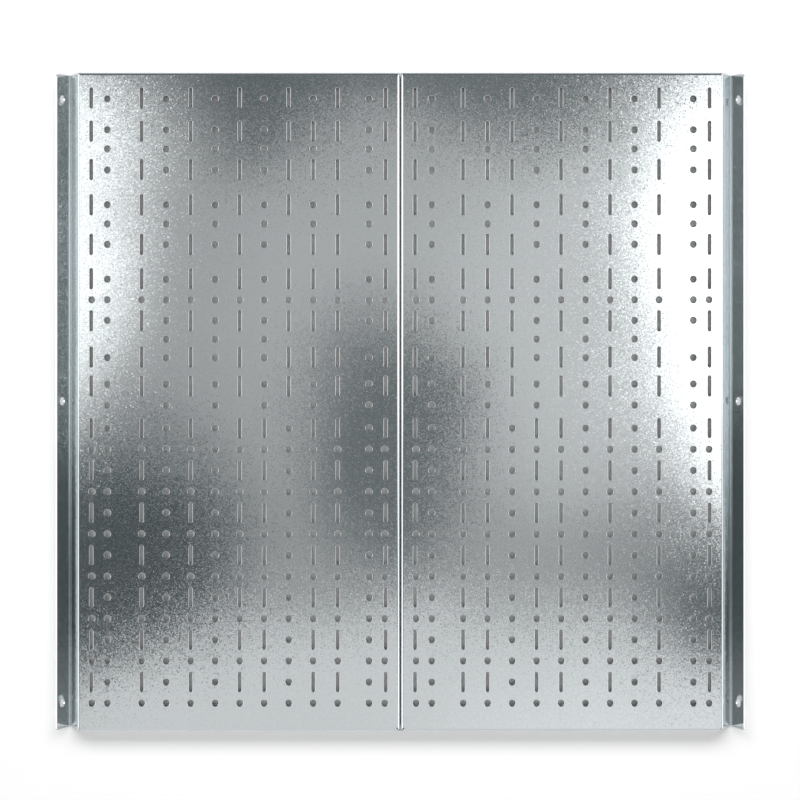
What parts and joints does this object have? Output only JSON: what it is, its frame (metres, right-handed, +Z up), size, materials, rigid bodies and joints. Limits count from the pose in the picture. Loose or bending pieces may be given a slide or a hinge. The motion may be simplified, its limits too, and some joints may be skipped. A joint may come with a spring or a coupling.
{
  "type": "folded perforated mounting panel",
  "caption": "Galvanised perforated mounting panel in folded halves, with round holes, slots and V-shaped side channels for fixing.",
  "frame": {"origin": "on the floor under the middle of the panel, at the seam", "axes": "+Z up out of the perforated face, +Y towards the top edge, +X towards the right half"},
  "size_m": [0.7054, 0.6726, 0.026],
  "materials": {
    "galvanised_steel": "zinc-galvanised with a fine spangle, half bright and half satin"
  },
  "bodies": {
    "root": {"left_panel": "galvanised_steel", "right_panel": "galvanised_steel"}
  },
  "joints": []
}
